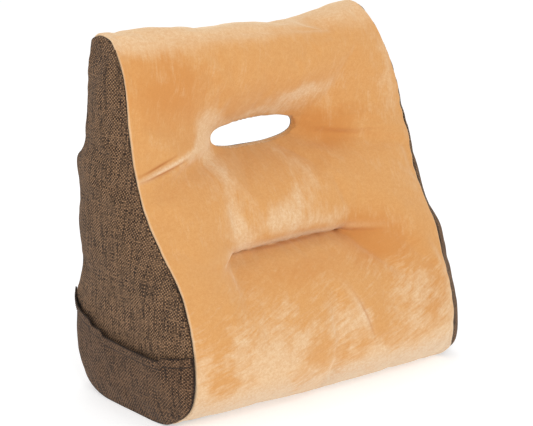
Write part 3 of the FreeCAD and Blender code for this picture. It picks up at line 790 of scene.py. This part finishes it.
def velour():
    """Brushed short-pile velour: painted sheen in lighter patches, painted shade in darker ones, painted
    highlight and shadow at the crease and seam lines, brush strokes, pile grain and sheen.
    """
    n = Nodes("camel_velour")
    here = n.parts(n.place)
    astray = n.parts(n.strayed(22.0, 4.0, 0.034, 0.5))
    height = here[2]

    def brushed(degrees, broad, fine, share):
        """Broad blotchy brush marks with fine ones in them; broad and fine are (length, breadth)."""
        blotches = brush_marks(n, astray, here[1], degrees, *broad)
        streaks = brush_marks(n, here, here[1], degrees - 6, *fine)
        return n.plus(n.times(blotches, 1 - share), n.times(streaks, share))

    # steep brush marks above, slanting ones on the lower part
    steep = brushed(82, (30, 14), (16, 2.6), 0.4)
    slanting = brushed(25, (28, 7), (22, 2.4), 0.5)
    is_low = n.span(height, 0.205, 0.165)
    stroke = n.minus(n.plus(steep, n.times(n.minus(slanting, steep), is_low)), 0.5)
    cloud = n.span(n.noise(n.move("MULTIPLY", n.place, (13, 13, 15)), 1.0, 4.0, 0.6), 0.38, 0.64)

    # painted sheen, lighter where the pile is seen at a grazing angle: beside the slot's left end, above its
    # right end and above the crease
    painted_sheen = patches(n, astray[0], astray[2],
                   ((-92, 345), (20, 30), 10, 1.2), ((-115, 329), (32, 8), 22, 1.15),
                   ((-84, 296), (14, 34), 0, 0.6), ((-100, 240), (15, 36), 0, 0.65),
                   ((62, 372), (48, 13), 8, 1.0), ((0, 352), (68, 7), 0, 0.7),
                   ((-40, 232), (52, 17), 6, 0.62), ((30, 222), (62, 10), 0, 0.5),
                   ((-215, 80), (11, 42), 0, 0.8), ((10, 256), (38, 18), 25, 0.5),
                   ((34, 290), (9, 34), 35, 0.4), ((200, 380), (14, 60), 0, 0.4),
                   ((-120, 60), (90, 26), 30, 0.35))
    # more painted sheen on the lower part, painted sheen and painted floor bounce along the bottom, and
    # painted sheen along the top
    low_sheen = n.times(n.span(height, 0.180, 0.095), n.plus(n.times(cloud, 0.5), 0.1))
    bottom = n.times(n.span(height, 0.078, 0.028), 0.7)
    top = n.times(n.span(height, 0.440, 0.476), 0.8)
    painted_sheen = n.plus(painted_sheen, low_sheen, bottom, top, n.times(cloud, 0.2))
    unevenness = n.minus(n.plus(n.times(is_low, 0.4), 2.0), n.times(n.span(height, 0.43, 0.47), 1.5))
    painted_sheen = n.span(n.plus(painted_sheen, n.times(stroke, unevenness)), 0.05, 1.12)
    # painted shade, darker and more saturated where the pile faces the view: right of the slot, and under
    # and right of the crease
    dark = patches(n, astray[0], astray[2],
                   ((104, 322), (38, 24), -25, 1.0), ((150, 338), (50, 16), 0, 0.5),
                   ((114, 190), (46, 30), 0, 1.35), ((-5, 180), (90, 16), 0, 0.3),
                   ((-30, 165), (80, 18), 0, 0.35), ((-10, 300), (70, 10), 0, 0.2),
                   ((-150, 270), (60, 22), 12, 0.2), ((-165, 410), (70, 60), 0, 0.9),
                   ((0, 425), (150, 26), 0, 0.15), ((60, 295), (60, 34), 0, 0.2),
                   ((175, 120), (60, 60), 0, 0.5))
    dark = n.span(n.minus(dark, n.times(stroke, 1.3)), 0.1, 1.0)
    # narrow painted highlight on the upper edge of the crease and on the folds, and painted shadow lines in
    # them
    painted_lip_highlight = patches(n, here[0], height,
                   ((TUFT_X, TUFT_Z + 5.5), (84, 5.5), 0, 1.2), ((TUFT_X - 78, TUFT_Z + 9), (12, 9), 0, 0.9),
                   ((-178, 316), (44, 3.2), 15, 1.0), ((38, 112), (32, 7), -68, 0.5))
    # painted shadow in the crease, at its right end and in the folds
    painted_crease_shadow = patches(n, here[0], height,
                    ((TUFT_X, TUFT_Z - 1), (80, 1.8), 0, 0.7), ((TUFT_X + 84, TUFT_Z), (6, 5), 0, 0.7),
                    ((-192, 319.5), (26, 1.8), 17, 0.9), ((-184, 311.5), (34, 1.8), 12, 0.9),
                    ((43, 110), (30, 1.8), -70, 0.45))
    mottle = n.noise(n.place, 240.0, 4.0, 0.6)
    grain = n.noise(n.place, 640.0, 2.0)
    edge = n.near_edge()

    # the painted shade darkens the base colour
    colour = n.mix(n.math("MINIMUM", dark, 1.0), linear(211, 157, 98), linear(203, 140, 78))
    # the painted sheen's colour, greyer near the bottom for painted floor bounce
    sheen_and_bounce_colour = n.mix(n.span(height, 0.065, 0.02), linear(225, 194, 155), linear(215, 195, 170))
    # laid on in turn: painted sheen, painted highlight on the crease, painted crease shadow, random mottle
    # and pile grain
    for share, over in ((n.times(painted_sheen, 0.95), sheen_and_bounce_colour),
                        (n.math("MINIMUM", painted_lip_highlight, 0.9), linear(232, 204, 168)),
                        (n.math("MINIMUM", painted_crease_shadow, 0.85), linear(172, 104, 52)),
                        (n.times(n.span(mottle, 0.35, 0.65), 0.27), linear(196, 134, 74)),
                        (n.times(n.span(grain, 0.35, 0.75), 0.26), linear(190, 126, 68)),
                        # painted sheen beside each seam, and painted shadow in each seam's groove
                        (n.times(n.span(edge, 0.0, 0.5), 0.55), linear(232, 200, 162)),
                        (n.times(n.span(edge, 0.8, 1.0), 0.7), linear(120, 76, 44))):
        colour = n.mix(share, colour, over)
    pile = n.bump(grain, 0.35, 0.0007)
    return n.finish(colour, 0.9, n.bump(stroke, 0.4, 0.0016, pile), Specular_IOR_Level=0.1,
                    Sheen_Weight=0.75, Sheen_Roughness=0.42, Sheen_Tint=linear(255, 236, 205))


def weave(name, across, up, light=(166, 128, 94), dark=(36, 24, 15)):
    """Melange plain weave: pairs of threads over and under each other, each with its own shade and
    slubs. across and up are the object axes that the threads follow; on cloth that turns from the
    side to the back, "xy" follows whichever of the two the surface runs along."""
    n = Nodes(name)
    thread = 2.2 * MM
    axis = dict(zip("xyz", n.parts(n.strayed(30.0, 2.0, 0.003, 0.0))))
    facing = n.parts(n.add("ShaderNodeNewGeometry").outputs["Normal"])
    sideways = n.math("GREATER_THAN", n.size(facing[0]), n.size(facing[1]))
    axis["xy"] = n.plus(axis["x"], n.times(sideways, n.minus(axis["y"], axis["x"])))
    u, v = n.over(axis[across], thread), n.over(axis[up], thread)
    over = n.times(n.math("SINE", n.times(u, math.pi)), n.math("SINE", n.times(v, math.pi)))
    tones = []
    for first, second, shift, contrast, lift in ((u, v, 0.0, 1.05, 0.09), (v, u, 71.3, 0.5, -0.07)):
        slub = n.noise(n.vector(n.plus(n.math("FLOOR", first), shift), n.times(second, 0.04)), 1.7, 3.0)
        tones.append(n.plus(n.times(n.minus(slub, 0.5), contrast), 0.5 + lift))
    tone = n.plus(tones[1], n.times(n.minus(tones[0], tones[1]), n.math("GREATER_THAN", over, 0.0)))
    fleck = n.minus(n.noise(n.place, 420.0, 1.0), 0.5)
    tone = n.span(n.plus(tone, n.times(fleck, 0.55)), 0.30, 0.72)
    colour = n.mix(tone, linear(*dark), linear(*light))
    gap = n.minus(1.0, n.span(n.size(over), 0.0, 0.5))
    # the gaps between threads are dark; painted shadow darkens the cloth along its sewn edges, as at each
    # seam and along the pocket hem
    for share in (gap, n.span(n.near_edge(), 0.35, 0.9)):
        colour = n.mix(n.times(share, 0.8), colour, linear(30, 19, 12))
    return n.finish(colour, 0.9, n.bump(n.size(over), 0.8, 0.0009), Specular_IOR_Level=0.2,
                    Sheen_Weight=0.05)


def shaded(colour, share):
    """A colour made darker or lighter."""
    return tuple(value * share for value in colour[:3]) + (1.0,)


def plain_cloth(name, colour, scale=500.0, strength=0.3, sheen=0.1):
    """A fine cloth, thread or tape with a grain and an uneven shade."""
    n = Nodes(name)
    grain = n.noise(n.place, scale, 3.0)
    shade = n.mix(n.span(grain, 0.35, 0.7), shaded(colour, 0.55), colour)
    shade = n.mix(n.times(n.noise(n.place, 25.0, 2.0), 0.25), shade, shaded(colour, 0.55))
    return n.finish(shade, 0.85, n.bump(grain, strength, 0.0005), Sheen_Weight=sheen)


def metal(name, colour, rough):
    """Dull plated metal with fine wear."""
    n = Nodes(name)
    wear = n.noise(n.place, 700.0, 4.0)
    shade = n.mix(n.span(wear, 0.45, 0.7), colour, shaded(colour, 1.6))
    return n.finish(shade, n.plus(n.times(wear, 0.2), rough), n.bump(wear, 0.15, 0.0002), Metallic=1.0)


VELOUR = velour()
WOVEN_SIDE = weave("woven_side", "xy", "z")
WOVEN_POCKET = weave("woven_pocket", "xy", "z", light=(146, 110, 80), dark=(31, 20, 13))
WOVEN_BACK = weave("woven_back", "xy", "z")
WOVEN_BASE = weave("woven_base", "x", "y")
FINISHES = {"velour": VELOUR, "woven": WOVEN_SIDE, "base_cloth": WOVEN_BASE,
            "liner": plain_cloth("white_liner", linear(222, 220, 212)),
            "filling": plain_cloth("fibre_filling", linear(236, 234, 228), 220.0, 0.6),
            "thread": plain_cloth("tuft_thread", linear(168, 112, 66), 1500.0),
            "tape": plain_cloth("brown_tape", linear(58, 44, 36), 900.0),
            "piping": plain_cloth("brown_piping", linear(74, 56, 44), 900.0),
            "zip_coil": plain_cloth("nylon_coil", linear(40, 32, 28), 1200.0, 0.1, 0.0),
            "zip_metal": metal("zip_metal", (0.16, 0.14, 0.12, 1.0), 0.28),
            "label": plain_cloth("satin_label", linear(228, 226, 218), 800.0)}


def dress(obj, slot, *nodes, body=ROOT, material=None):
    """Finishes a piece: its slot, its material, its body and the CAD nodes it stands for."""
    obj.data.materials.clear()
    obj.data.materials.append(material or FINISHES[slot])
    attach(obj, body)
    if nodes:
        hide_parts(*nodes)
    return obj


slot_of = {row["node"]: row["material_slot"] for row in frame["record"]["subparts"]}
for node_name, node_object in frame["nodes"].items():
    node_object.data.materials.clear()
    node_object.data.materials.append(FINISHES[slot_of[node_name]])

for name in PANELS:
    panel = thicken(cloth[name], 2.0 if name == "front_panel" else 1.2)
    on_back = name in ("back_panel_upper", "back_panel_lower")
    dress(panel, slot_of[name], name, material=WOVEN_BACK if on_back else None)

# ---------------------------------------------------------------------------- inside the cover
for name, wanted, node in (("liner_wrap_cloth", (FRONT, BACK_UP, BACK_LOW, BASE), "liner_wrap"),
                           ("liner_left_cloth", (LEFT_SIDE,), "liner_left_side"),
                           ("liner_right_cloth", (RIGHT_SIDE,), "liner_right_side")):
    liner = dress(inner_layer(name, LINER_DEPTH, wanted), "liner", node)
filling = dress(closed_filling("fibre_filling", FILLING_DEPTH), "filling",
                "fill_base", "fill_lumbar", "fill_slot_left", "fill_slot_right", "fill_top")


def tube(name, paths, radius, sides):
    """Round tubes along one or more paths, as one mesh."""
    points, faces = [], []
    for path in paths:
        path = np.array(path, float)
        along = np.gradient(path, axis=0)
        along /= np.maximum(np.linalg.norm(along, axis=1), 1e-9)[:, None]
        up = np.array([0.0, 0.0, 1.0]) if abs(along[0][2]) < 0.9 else np.array([0.0, 1.0, 0.0])
        first = len(points)
        for place, direction in zip(path, along):
            side = np.cross(direction, up)
            side /= np.linalg.norm(side)
            up = np.cross(side, direction)
            for k in range(sides):
                angle = 2 * math.pi * k / sides
                points.append(place + radius * (math.cos(angle) * side + math.sin(angle) * up))
        for k, j in np.ndindex(len(path) - 1, sides):
            a, b = first + k * sides + j, first + k * sides + (j + 1) % sides
            faces.append((a, b, b + sides, a + sides))
        faces.append(tuple(first + j for j in range(sides))[::-1])
        faces.append(tuple(len(points) - sides + j for j in range(sides)))
    return new_mesh(name, points, faces)


def slot_rim(grow, count):
    """Points round the slot's rim, (x, z) about its middle, the rim grown by a little."""
    turn = np.linspace(0, 2 * math.pi, 20 * count, endpoint=True)
    power = 2 / SLOT_SQUARENESS
    x, z = ((half + grow) * np.sign(wave) * np.abs(wave) ** power
            for half, wave in ((SLOT_HALF_LENGTH, np.cos(turn)), (SLOT_HALF_HEIGHT, np.sin(turn))))
    return evenly(np.stack([x, z], 1), count)[:-1]


def slot_lining(steps=9, count=120):
    """The short tube of velour that joins the front and the back round the slot."""
    points, faces = [], []
    for share in np.arange(steps) / (steps - 1):
        y = SLOT_FRONT_Y - 0.8 + (SLOT_BACK_Y - SLOT_FRONT_Y + 1.6) * share
        for x, z in slot_rim(1.6 * (2 * share - 1) ** 4 - 0.4, count):
            pucker = 0.4 * math.sin(x / 4.1) * math.sin(z / 3.3) * (1 - abs(2 * share - 1))
            points.append((x, y, SLOT_Z + z + pucker))
    for step, k in np.ndindex(steps - 1, count):
        a, b = step * count + k, step * count + (k + 1) % count
        faces.append((a, a + count, b + count, b))
    return new_mesh("slot_lining_cloth", points, faces)


lining = dress(thicken(slot_lining(), 1.4, 1.0), "velour", "grip_slot_lining")

# ------------------------------------------------------------------------- crease and its straps
STITCH_PITCH, STITCH_RISE = 5.5, 0.9


def stitches(start, end, pitch, rise, toward):
    """Separate stitch paths in a row; each rises out of the cloth and dives back in."""
    start, end, toward = (np.array(v, float) for v in (start, end, toward))
    count = max(2, int(np.linalg.norm(end - start) / pitch))
    return [[start + (end - start) * ((k + 0.12 + 0.76 * share) / count)
             + toward * (rise * math.sin(math.pi * share) - 0.3) for share in np.arange(6) / 5]
            for k in range(count)]


tuft_path = stitches((TUFT_X - TUFT_HALF, TUFT_Y - 1.2, TUFT_Z), (TUFT_X + TUFT_HALF, TUFT_Y - 1.2, TUFT_Z),
                     STITCH_PITCH, STITCH_RISE, (0, -1, 0))
dress(tube("tuft_stitches", tuft_path, 0.7, 6), "thread", "tuft_line")


def surface_of(*objects):
    """A search tree of some pieces' surfaces at rest."""
    points, polygons = [], []
    for obj in objects:
        first = len(points)
        points += [vertex.co.copy() for vertex in obj.data.vertices]
        polygons += [[first + v for v in polygon.vertices] for polygon in obj.data.polygons]
    return BVHTree.FromPolygons(points, polygons)


back_surface = surface_of(cloth["back_panel_upper"], cloth["back_panel_lower"])
left_surface = surface_of(cloth["left_side_panel"])


def back_y(x, z):
    """Where the back's cloth lies at a place, in millimetres."""
    return back_surface.ray_cast(Vector((x, FAR, z)) * MM, (0, -1, 0))[0][1] / MM


# the inside tape behind the back's dimple, and the straps that run to it from the crease
tape_rows = [[(x, back_y(x, BACK_TUFT_Z + level) - 3.2, BACK_TUFT_Z + level)
              for x in np.linspace(-80, 80, 33)] for level in (-9, -3, 3, 9)]
dress(thicken(grid_mesh("tuft_tape_cloth", tape_rows), 0.9), "tape", "tuft_back_tape")
STRAP_FRONT_Y = TUFT_Y + 2.6
STRAP_BACK_Y = min(point[1] for row in tape_rows for point in row) - 1


def strap(middle):
    """One flat strap as a grid of points, slack by a little."""
    return [[(middle + edge, STRAP_FRONT_Y + (STRAP_BACK_Y - STRAP_FRONT_Y) * share,
              TUFT_Z + (BACK_TUFT_Z - TUFT_Z) * share - 1.5 * math.sin(math.pi * share)
              + 0.4 * math.cos(edge / 4)) for share in np.arange(13) / 12] for edge in (-10, -3.5, 3.5, 10)]


dress(thicken(grid_mesh("tuft_strap_cloth", strap(-60), strap(60)), 1.1), "tape", "tuft_tie_straps")

stitch_paths = []
for path in stitches((TUFT_X - TUFT_HALF, 0.2, BACK_TUFT_Z), (TUFT_X + TUFT_HALF, 0.2, BACK_TUFT_Z),
                     STITCH_PITCH, STITCH_RISE, (0, 1, 0)):
    stitch_paths.append(np.array(path) + (0, back_y(path[2][0], BACK_TUFT_Z), 0))
dress(tube("back_tuft_stitches", stitch_paths, 0.6, 6), "piping")

# ---------------------------------------------------------------------------------- back piping
PIPING_RADIUS = 1.5
seam_tree = KDTree(len(seam_points))
for index, point in enumerate(seam_points):
    seam_tree.insert(point, index)
seam_tree.balance()
for side, sign, outline, seam_x in (("left", -1, LEFT, LEFT_X), ("right", 1, RIGHT, RIGHT_X)):
    normal = outward(outline)
    path = np.array([seam_tree.find((seam_x[row], *outline[row]))[0]
                     + 1.3 * 0.7 * Vector((sign, *normal[row]))
                     for row in range(BACK_START + 6, BASE_START - 1)])
    for turn in range(3):
        path[1:-1] = (path[:-2] + 2 * path[1:-1] + path[2:]) / 4
    dress(tube(f"{side}_piping_cloth", [path], PIPING_RADIUS, 10), "piping", f"{side}_back_piping")

# ---------------------------------------------------------------------------------- side pocket
POCKET_COLUMNS, POCKET_ROWS = 66, 36
HEM_HEIGHT, HEM_STITCHES = 11.0, 76
side_yz = side_grid(grid[:, 0], **LEFT_FORM)[..., 1:]


def mouth_height(share):
    """Height of the pocket's mouth from the front seam (0) to the back seam (1)."""
    return 105 + 27 * share - 27 * math.sin(math.pi * share) ** 0.8


def pocket_column(share):
    """The pocket's points from its foot to its mouth, at a share of the way from front to back. It
    lies on the side panel at its foot and its ends, and stands off towards its mouth."""
    column = share * ACROSS_SIDE
    low = min(int(column), ACROSS_SIDE - 1)
    line = side_yz[:, low] * (1 - column + low) + side_yz[:, low + 1] * (column - low)
    top = int(np.argmax(line[:, 1] >= mouth_height(share)))
    across = math.sin(math.pi * share)
    points = []
    for step, (y, z) in enumerate(evenly(line[:top + 1], POCKET_ROWS)):
        up = step / POCKET_ROWS
        hit = left_surface.ray_cast(Vector((-FAR, y, z)) * MM, (1, 0, 0))[0]
        x = -SEAM_X - 1 if hit is None else hit[0] / MM
        if up == 0 or share in (0, 1):
            x = max(x, -SEAM_X - 2.5)
        fullness = 1.2 * math.sin(math.pi * min(up * 1.1, 1)) + 6.0 * up ** 3
        stand = 1.3 * min(1, across * 6) + fullness * across ** 0.7
        sagging = 1.1 * noise.noise(Vector((y / 45, z / 30, 3.1))) * across * min(1, up * 4)
        points.append((x - stand - sagging, y, z))
    return points


pocket_grid = np.array([pocket_column(j / POCKET_COLUMNS) for j in range(POCKET_COLUMNS + 1)])
pocket_grid = pocket_grid.transpose(1, 0, 2)
pocket = grid_mesh("side_pocket_cloth", pocket_grid)
# the hem is the mouth's edge turned over: it follows the pocket and stands a little prouder
below_mouth, mouth = pocket_grid[-5], pocket_grid[-1]
down = (below_mouth - mouth) * (HEM_HEIGHT / np.linalg.norm(mouth - below_mouth, axis=1))[:, None]
hem_rows = [mouth + down * (1 - share) + (-0.9 - 0.5 * math.sin(math.pi * share), 0, 1.2 * share)
            for share in (0.0, 0.25, 0.5, 0.75, 1.0)]
hem = grid_mesh("pocket_hem_cloth", hem_rows)
for piece, thickness, node in ((pocket, 1.2, "side_pocket"), (hem, 1.6, "pocket_hem")):
    subdivide(piece)
    mark_edges(piece)
    dress(thicken(piece, thickness, 0.0), "woven", node, material=WOVEN_POCKET)
hem_stitches = []
stitch_line = evenly(hem_rows[0] * 0.8 + hem_rows[1] * 0.2, HEM_STITCHES) + (-1.2, 0, 0)
for first, last in zip(stitch_line[1:-1], stitch_line[2:]):
    hem_stitches += stitches(first, first + (last - first) * 0.98, 3.2, 0.35, (-1, 0, 0))[:1]
hem_thread = dress(tube("pocket_hem_stitches", hem_stitches, 0.32, 5), "piping")

# ------------------------------------------------------------------------------------------- zip
COIL_PITCH, COIL_THREAD, COIL_STEPS = 1.5, 0.36, 10
for half, start in (("upper", 0.0), ("lower", math.pi)):
    low, high = node_box(f"zip_tape_{half}")
    tape_rows = []
    for step in range(7):
        share = step / 6
        ripple = 0.15 * (share if half == "upper" else 1 - share)
        z = low[2] + (high[2] - low[2]) * share
        tape_rows.append([(x, (low[1] + high[1]) / 2, z + ripple * math.sin(x / 9 + step))
                          for x in np.linspace(low[0], high[0], 140)])
    tape = thicken(grid_mesh(f"zip_tape_{half}_cloth", tape_rows), 0.6, 0.0)
    dress(tape, "tape", f"zip_tape_{half}")
    low, high = (np.array(corner) for corner in node_box(f"zip_coil_{half}"))
    middle, reach = (low + high) / 2, (high - low) / 2 - 0.3
    steps = int((high[0] - low[0]) / COIL_PITCH) * COIL_STEPS
    helix = []
    for step in range(steps + 1):
        angle = 2 * math.pi * step / COIL_STEPS + start
        helix.append((low[0] + 0.4 + (high[0] - low[0] - 0.8) * step / steps,
                      middle[1] + reach[1] * math.cos(angle), middle[2] + reach[2] * math.sin(angle)))
    dress(tube(f"zip_coil_{half}_thread", [helix], COIL_THREAD, 5), "zip_coil", f"zip_coil_{half}")


def softened(node_name, piece_name, width, body=ROOT):
    """A copy of a small CAD piece with its edges rounded as a casting's are."""
    obj = bpy.data.objects.new(piece_name, frame["nodes"][node_name].data.copy())
    bpy.context.scene.collection.objects.link(obj)
    mesh = bmesh.new()
    mesh.from_mesh(obj.data)
    bmesh.ops.remove_doubles(mesh, verts=mesh.verts, dist=0.00001)
    bmesh.ops.dissolve_limit(mesh, angle_limit=0.02, verts=mesh.verts, edges=mesh.edges)
    mesh.to_mesh(obj.data)
    mesh.free()
    bevel = obj.modifiers.new("rounded", "BEVEL")
    bevel.width = width * MM
    bevel.segments = 3
    bevel.limit_method = "ANGLE"
    obj.data.polygons.foreach_set("use_smooth", [True] * len(obj.data.polygons))
    dress(obj, "zip_metal", node_name, body=body)


softened("zip_slider", "zip_slider_casting", 0.35, "zip_slider")
softened("zip_pull", "zip_pull_casting", 0.3, "zip_pull")
softened("zip_bottom_stop", "zip_bottom_stop_crimp", 0.3)
softened("zip_top_stops", "zip_top_stop_crimps", 0.3)

# ---------------------------------------------------------------------------------- blank label
low, high = node_box("care_label")
label_rows = [[(x, back_y(x, z) + 0.5, z) for x in np.linspace(low[0], high[0], 15)]
              for z in (low[2] + (high[2] - low[2]) * step / 6 for step in range(7))]
label = dress(thicken(grid_mesh("care_label_cloth", label_rows), 0.4, 1.0), "label", "care_label")

# --------------------------------------------------------------------------- camera, light, floor
AZIMUTH, ELEVATION, DISTANCE = math.radians(-39.18), math.radians(15.92), 2.5698
TARGET = Vector((-0.0467, -0.048, 0.2422))
forward = Vector((-math.sin(AZIMUTH) * math.cos(ELEVATION), math.cos(AZIMUTH) * math.cos(ELEVATION),
                  -math.sin(ELEVATION)))
camera_data = bpy.data.cameras.new("camera")
camera_data.sensor_width = 36.0
camera_data.lens = 135.07
camera = bpy.data.objects.new("camera", camera_data)
camera.location = TARGET - forward * DISTANCE
camera.rotation_euler = forward.to_track_quat("-Z", "Y").to_euler()
bpy.context.scene.collection.objects.link(camera)
bpy.context.scene.camera = camera


def area_light(name, place, size, power):
    """A square softbox that faces the cushion."""
    data = bpy.data.lights.new(name, "AREA")
    data.size = size
    data.energy = power
    light = bpy.data.objects.new(name, data)
    light.location = place
    light.rotation_euler = (Vector((0, 0, 0.22)) - Vector(place)).to_track_quat("-Z", "Y").to_euler()
    bpy.context.scene.collection.objects.link(light)


area_light("key", (-1.1, -2.3, 1.9), 1.0, 26)
area_light("left_fill", (-2.6, -0.3, 0.9), 1.6, 9)
area_light("right_fill", (2.4, -1.4, 1.0), 1.6, 6)
area_light("top", (0.2, 0.5, 2.4), 1.2, 9)

world = bpy.data.worlds.new("studio")
world.use_nodes = True
world.node_tree.nodes["Background"].inputs[0].default_value = (1, 1, 1, 1)
world.node_tree.nodes["Background"].inputs[1].default_value = 0.72
bpy.context.scene.world = world
bpy.context.scene.view_settings.view_transform = "Standard"

FLOOR_HALF = 6000
floor_corners = [(FLOOR_HALF * x, FLOOR_HALF * y, 0) for x, y in ((-1, -1), (1, -1), (1, 1), (-1, 1))]
floor = new_mesh("floor", floor_corners, [(0, 1, 2, 3)], smooth=False)
paper = Nodes("floor_paper")
fleck = paper.times(paper.noise(paper.place, 3.0), 0.1)
floor.data.materials.append(paper.finish(
    paper.mix(fleck, (0.66, 0.66, 0.66, 1), (0.62, 0.62, 0.62, 1)), 0.9,
    Emission_Color=(1, 1, 1, 1), Emission_Strength=0.5))
